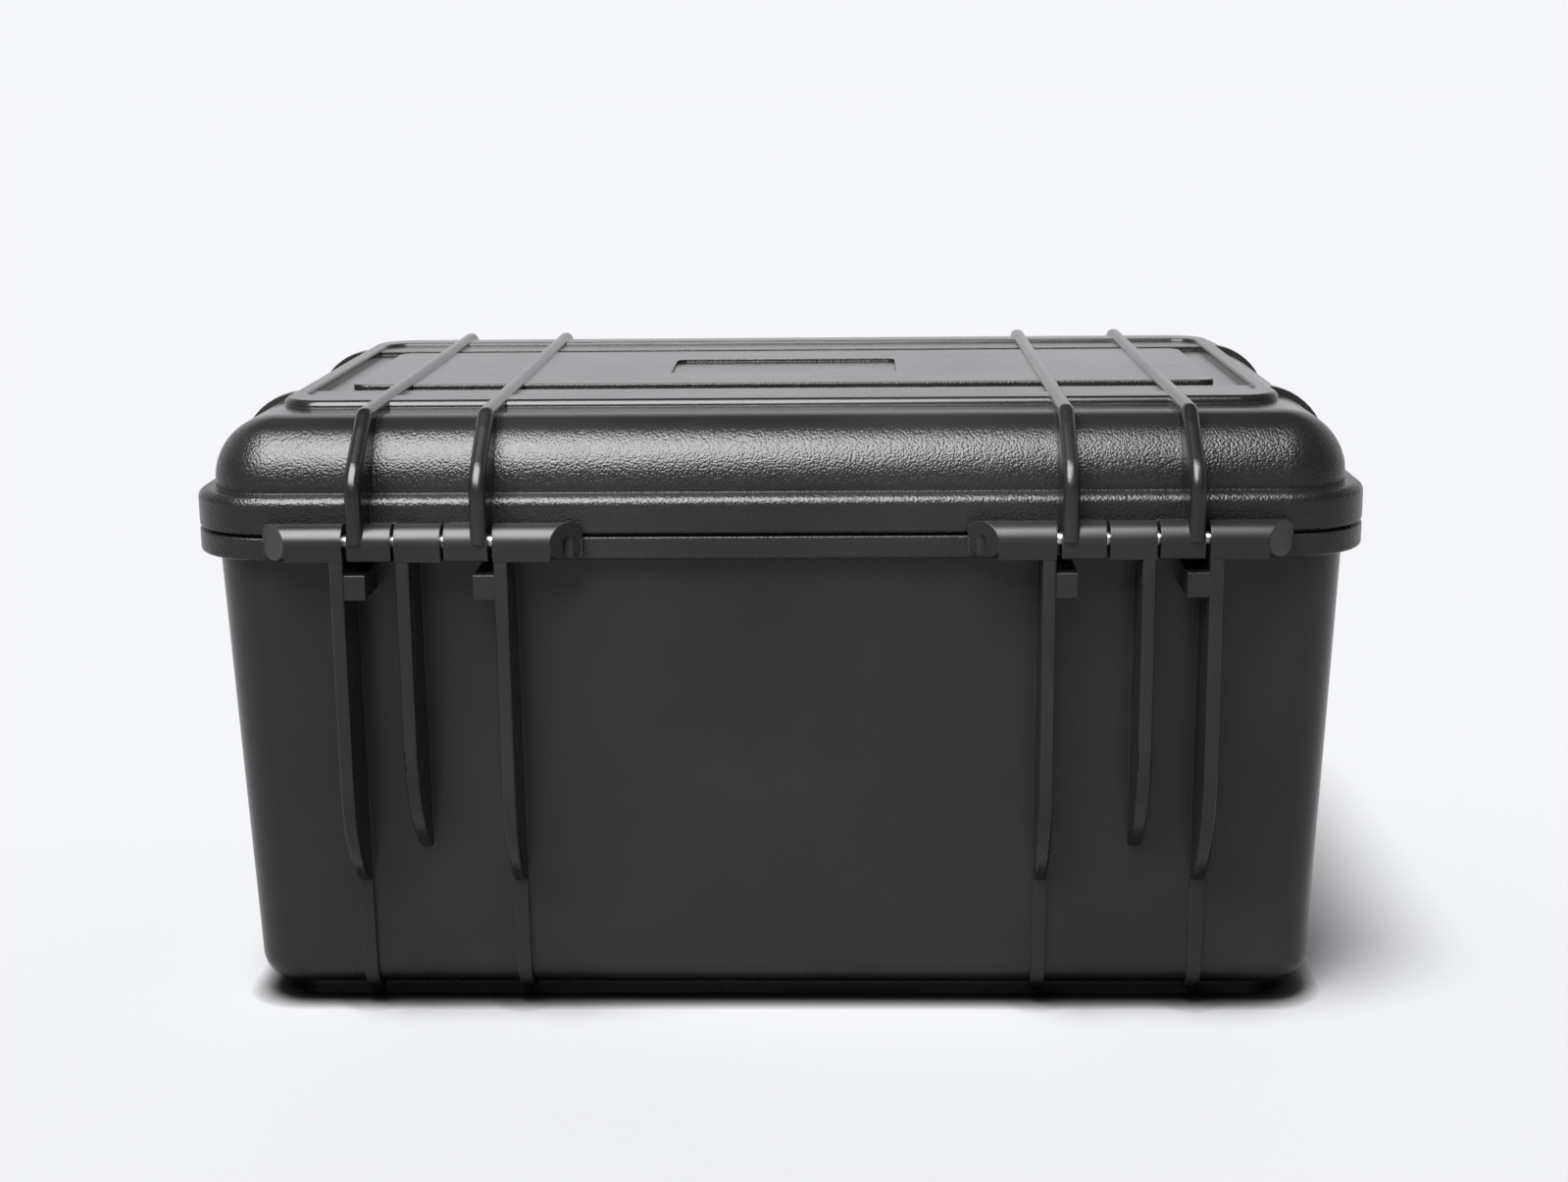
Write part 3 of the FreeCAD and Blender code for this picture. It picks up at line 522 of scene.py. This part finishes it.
def slabTree():
    kinds = {label: "NodeSocketFloat" for label in slabInputs}
    kinds["Finish"] = "NodeSocketMaterial"
    tree, nodes = plantTree("softSlab", kinds)
    size = {label: nodes.add("NodeGroupInput", {}, {}, label) for label in kinds}
    sheet = nodes.add("GeometryNodeMeshGrid", {}, {
        "Size X": size["Half X"] * 2, "Size Y": size["Half Y"] * 2,
        "Vertices X": slabMake["steps"][0], "Vertices Y": slabMake["steps"][1],
    })
    place = nodes.add("ShaderNodeSeparateXYZ", {}, {"Vector": nodes.add("GeometryNodeInputPosition")})
    x, y = place, place.also("Y")
    innerX, innerY = size["Half X"] - size["Corner"], size["Half Y"] - size["Corner"]
    overX = ((abs(x) - innerX) / size["Corner"]).most(0)
    overY = ((abs(y) - innerY) / size["Corner"]).most(0)
    # A square corner becomes a round one
    roundX = abs(x).least(innerX) + size["Corner"] * overX * (1 - overY * overY / 2).root()
    roundY = abs(y).least(innerY) + size["Corner"] * overY * (1 - overX * overX / 2).root()
    spot = nodes.add("ShaderNodeCombineXYZ", {}, {"X": x.sign() * roundX, "Y": y.sign() * roundY})
    sheet = nodes.add("GeometryNodeSetPosition", {}, {"Geometry": sheet, "Position": spot})
    past = (overX * overX + overY * overY).root() * size["Corner"]
    inside = (abs(x) - innerX).most(abs(y) - innerY).least(0)
    toEdge = (size["Corner"] - past - inside).most(0)

    def quarter(radius):  # drop of a quarter-round edge
        rest = radius - toEdge.least(radius)
        return radius - (radius * radius - rest * rest).most(0).root()

    turns = 2 * math.pi / size["Pitch"]
    peaks = (1 - (x * turns).wave() * (y * turns).wave()) * 0.5
    rough = toEdge.rise(size["Margin"], size["Margin"] + size["Pitch"] * slabMake["calmShare"])
    flat = slabMake["calmHeight"]
    under = size["Low"] + size["Depth"] * (flat + (peaks - flat) * rough) + quarter(size["Edge"])
    over = size["High"] - quarter(size["Crown"])

    def lifted(shape, height):
        spot = nodes.add("ShaderNodeCombineXYZ", {}, {"X": x, "Y": y, "Z": height})
        return nodes.add("GeometryNodeSetPosition", {}, {"Geometry": shape, "Position": spot})

    walls = nodes.add("GeometryNodeExtrudeMesh", {"mode": "FACES"}, {
        "Mesh": sheet, "Individual": False, "Offset": (0, 0, 1), "Offset Scale": mm,
    })
    upper = lifted(walls, under + (over - under) * walls.also("Top"))
    lower = nodes.add("GeometryNodeFlipFaces", {}, {"Mesh": lifted(sheet, under)})
    whole = nodes.add("GeometryNodeJoinGeometry", {}, {"Geometry": [upper, lower]})
    whole = nodes.add("GeometryNodeMergeByDistance", {}, {"Geometry": whole, "Distance": weld})
    whole = nodes.add("GeometryNodeSetShadeSmooth", {}, {"Geometry": whole})
    whole = nodes.add("GeometryNodeRealizeInstances", {}, {"Geometry": whole})
    whole = nodes.add("GeometryNodeSetMaterial", {}, {"Geometry": whole, "Material": size["Finish"]})
    nodes.add("NodeGroupOutput", {}, {"Geometry": whole})
    return tree


lidFoam = {
    "corner": 16.3 * mm, "crown": 15.3 * mm, "edge": 3.0 * mm,
    "pitch": 22.0 * mm, "depth": 12.0 * mm,
}
floorPad = {
    "corner": 8.0 * mm, "crown": 2.4 * mm, "edge": 1.2 * mm,
    "pitch": 22.0 * mm, "depth": 0.0,
}


def softSlab(tree, name, node, body, make):
    low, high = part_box(node)
    piece = grow(tree, name, {
        "Half X": high.x, "Half Y": high.y, "Corner": make["corner"], "Low": low.z, "High": high.z,
        "Crown": make["crown"], "Edge": make["edge"], "Pitch": make["pitch"], "Depth": make["depth"],
        "Margin": make["pitch"] * slabMake["marginShare"], "Finish": foamMaterial,
    })
    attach(piece, body)
    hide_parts(node)


slab = slabTree()
softSlab(slab, "lidFoam", "lid_foam", "lid", lidFoam)
softSlab(slab, "floorPad", "base_floor_pad", "base", floorPad)


# Base foam: the cut block, its edges softened

baseFoam = {"voxel": 2.5 * mm, "smoothShare": 0.5, "smoothRounds": 3}


def addBaseFoam():
    mesh = frame["nodes"]["base_foam"].data.copy()
    welded = bmesh.new()
    welded.from_mesh(mesh)
    bmesh.ops.remove_doubles(welded, verts=welded.verts, dist=weld)
    welded.to_mesh(mesh)
    welded.free()
    piece = bpy.data.objects.new("baseFoam", mesh)
    bpy.context.scene.collection.objects.link(piece)
    remesh = piece.modifiers.new("remesh", "REMESH")
    remesh.mode = "VOXEL"
    remesh.voxel_size = baseFoam["voxel"]
    remesh.use_smooth_shade = True
    smooth = piece.modifiers.new("smooth", "SMOOTH")
    smooth.factor = baseFoam["smoothShare"]
    smooth.iterations = baseFoam["smoothRounds"]
    settle(piece)
    piece.data.materials.clear()
    piece.data.materials.append(foamMaterial)
    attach(piece, "base")
    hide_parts("base_foam")
    print("base foam:", len(piece.data.polygons), "faces")


addBaseFoam()


# Ribs moulded round the handle's grip

gripRibs = {
    "count": 15, "margin": 6.0 * mm, "bead": 1.0 * mm, "beadSides": 8,
    "sunk": 0.35 * mm, "corner": 4.0 * mm, "cornerSteps": 6,
}


def gripTree():
    labels = ("Width", "Height", "Corner", "Bead", "Start", "Pitch", "Centre Y", "Centre Z")
    kinds = {label: "NodeSocketFloat" for label in labels}
    kinds["Count"] = "NodeSocketInt"
    kinds["Finish"] = "NodeSocketMaterial"
    tree, nodes = plantTree("gripRibs", kinds)
    size = {label: nodes.add("NodeGroupInput", {}, {}, label) for label in kinds}
    loop = nodes.add("GeometryNodeCurvePrimitiveQuadrilateral", {}, {
        "Width": size["Height"], "Height": size["Width"],
    })
    loop = nodes.add("GeometryNodeFilletCurve", {"mode": "POLY"}, {
        "Curve": loop, "Count": gripRibs["cornerSteps"], "Radius": size["Corner"],
    })
    bead = nodes.add("GeometryNodeCurvePrimitiveCircle", {}, {
        "Resolution": gripRibs["beadSides"], "Radius": size["Bead"],
    })
    ring = nodes.add("GeometryNodeCurveToMesh", {}, {"Curve": loop, "Profile Curve": bead})
    ring = nodes.add("GeometryNodeTransform", {}, {"Geometry": ring, "Rotation": (0, math.pi / 2, 0)})
    first = nodes.add("ShaderNodeCombineXYZ", {}, {
        "X": size["Start"], "Y": size["Centre Y"], "Z": size["Centre Z"],
    })
    step = nodes.add("ShaderNodeCombineXYZ", {}, {"X": size["Pitch"]})
    line = nodes.add("GeometryNodeMeshLine", {}, {
        "Count": size["Count"], "Start Location": first, "Offset": step,
    })
    rings = nodes.add("GeometryNodeInstanceOnPoints", {}, {"Points": line, "Instance": ring})
    whole = nodes.add("GeometryNodeRealizeInstances", {}, {"Geometry": rings})
    whole = nodes.add("GeometryNodeSetShadeSmooth", {}, {"Geometry": whole})
    whole = nodes.add("GeometryNodeSetMaterial", {}, {"Geometry": whole, "Material": size["Finish"]})
    nodes.add("NodeGroupOutput", {}, {"Geometry": whole})
    return tree


def addGripRibs():
    low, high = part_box("handle_grip")
    make = gripRibs
    run = high.x - low.x - make["margin"] * 2
    middle = (low + high) / 2
    piece = grow(gripTree(), "gripRibs", {
        "Width": high.y - low.y - make["sunk"] * 2, "Height": high.z - low.z - make["sunk"] * 2,
        "Corner": make["corner"] - make["sunk"], "Bead": make["bead"],
        "Start": low.x + make["margin"], "Pitch": run / (make["count"] - 1), "Count": make["count"],
        "Centre Y": middle.y, "Centre Z": middle.z, "Finish": rubberMaterial,
    })
    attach(piece, "handle")


addGripRibs()
print("foam and grip ribs")


# Camera at the photograph's angle, found from its edges

view = {
    "place": (-22.44 * mm, 808.55 * mm, 290.15 * mm),
    "turn": 0.029,
    "pitch": 0.219,
    "roll": 0.010,
    "focal": 2374.5,
    "imageWidth": 1599,
    "sensor": 36.0,
}


def addCamera():
    ahead = Vector((math.sin(view["turn"]), -math.cos(view["turn"]), 0))
    upright = Vector((0, 0, 1))
    right = ahead.cross(upright)
    sight = ahead * math.cos(view["pitch"]) - upright * math.sin(view["pitch"])
    top = ahead * math.sin(view["pitch"]) + upright * math.cos(view["pitch"])
    rolledRight = right * math.cos(view["roll"]) - top * math.sin(view["roll"])
    rolledTop = right * math.sin(view["roll"]) + top * math.cos(view["roll"])
    data = bpy.data.cameras.new("camera")
    data.sensor_fit = "HORIZONTAL"
    data.sensor_width = view["sensor"]
    data.lens = view["focal"] / view["imageWidth"] * view["sensor"]
    camera = bpy.data.objects.new("camera", data)
    turned = Matrix((rolledRight, rolledTop, -sight)).transposed().to_4x4()
    camera.matrix_world = Matrix.Translation(view["place"]) @ turned
    bpy.context.scene.collection.objects.link(camera)
    bpy.context.scene.camera = camera


addCamera()


# Pale floor, with a painted contact shadow that darkens it where the case stands on it

floorMake = {
    "half": 30.0,
    "colour": (0.80, 0.806, 0.825, 1),
    "glow": (0.05, 0.05, 0.05, 1),
    "roughness": 0.9,
    # reach and samples of the painted contact shadow; dark is its colour
    "paintedShadowReach": 11.0 * mm,
    "paintedShadowSamples": 8,
    "dark": (0.0, 0.0, 0.0, 1),
}


def addFloor():
    half = floorMake["half"]
    mesh = bpy.data.meshes.new("floor")
    corners = [(-half, -half, 0), (half, -half, 0), (half, half, 0), (-half, half, 0)]
    mesh.from_pydata(corners, [], [range(len(corners))])
    floor = bpy.data.objects.new("floor", mesh)
    bpy.context.scene.collection.objects.link(floor)
    material, nodes, where = newFinish("paleFloor")
    settings = {"samples": floorMake["paintedShadowSamples"]}
    sockets = {"Distance": floorMake["paintedShadowReach"]}
    # painted contact shadow: ambient occlusion darkens the floor's colour and glow near the case
    clear = nodes.add("ShaderNodeAmbientOcclusion", settings, sockets, "AO")
    clearOfPaintedShadow = clear * clear * clear
    coat(nodes, {
        "Base Color": nodes.tint(clearOfPaintedShadow, floorMake["dark"], floorMake["colour"]),
        "Roughness": floorMake["roughness"],
        "Specular IOR Level": 0.0,
        "Emission Color": nodes.tint(clearOfPaintedShadow, floorMake["dark"], floorMake["glow"]),
        "Emission Strength": 1.0,
    })
    mesh.materials.append(material)
    return floor


floor = addFloor()


# Studio light: a wide softbox for the case, an even wash for the floor, a glow from behind

studio = {
    "surround": (0.955, 0.965, 0.99, 1),
    "behind": 0.965,
    "aside": 0.15,
    "above": 0.03,
    "rearRange": (-0.8, 0.2),
    "lowRange": (0.42, 0.66),
    "box": {"place": (0.27, 0.66, 1.05), "size": (0.95, 1.05), "power": 81.0},
    "wash": {"place": (0.14, 0.22, 1.0), "angle": 21.0, "power": 3.02},
}


def aim(light, make):
    light.location = make["place"]
    light.rotation_mode = "QUATERNION"
    light.rotation_quaternion = (-Vector(make["place"])).to_track_quat("-Z", "Y")
    bpy.context.scene.collection.objects.link(light)


def linkLight(light, piece, state):
    chosen = bpy.data.collections.new(light.name + "Reach")
    chosen.objects.link(piece)
    chosen.collection_objects[0].light_linking.link_state = state
    light.light_linking.receiver_collection = chosen


def addLights():
    make = studio["box"]
    data = bpy.data.lights.new("softbox", "AREA")
    data.shape = "RECTANGLE"
    data.size, data.size_y = make["size"]
    data.energy = make["power"]
    box = bpy.data.objects.new("softbox", data)
    aim(box, make)
    linkLight(box, floor, "EXCLUDE")
    make = studio["wash"]
    data = bpy.data.lights.new("floorWash", "SUN")
    data.angle = math.radians(make["angle"])
    data.energy = make["power"]
    wash = bpy.data.objects.new("floorWash", data)
    aim(wash, make)
    linkLight(wash, floor, "INCLUDE")


def addSurround():
    world = bpy.data.worlds.new("studio")
    bpy.context.scene.world = world
    world.use_nodes = True
    world.node_tree.nodes.clear()
    nodes = Nodes(world.node_tree)
    ray = nodes.add("ShaderNodeTexCoord", {}, {}, "Generated")
    heading = nodes.add("ShaderNodeSeparateXYZ", {}, {"Vector": ray})
    rear = 1 - heading.also("Y").rise(*studio["rearRange"])
    low = 1 - heading.also("Z").rise(*studio["lowRange"])
    band = studio["aside"] + (studio["behind"] - studio["aside"]) * rear
    glow = studio["above"] + (band - studio["above"]) * low
    seen = nodes.add("ShaderNodeLightPath", {}, {}, "Is Camera Ray")
    strength = glow + (studio["behind"] - glow) * seen  # the backdrop looks pale on every side
    light = nodes.add("ShaderNodeBackground", {}, {"Color": studio["surround"], "Strength": strength})
    nodes.add("ShaderNodeOutputWorld", {}, {"Surface": light})


addSurround()
addLights()
bpy.context.scene.view_settings.view_transform = "Standard"
print("camera, floor and light")
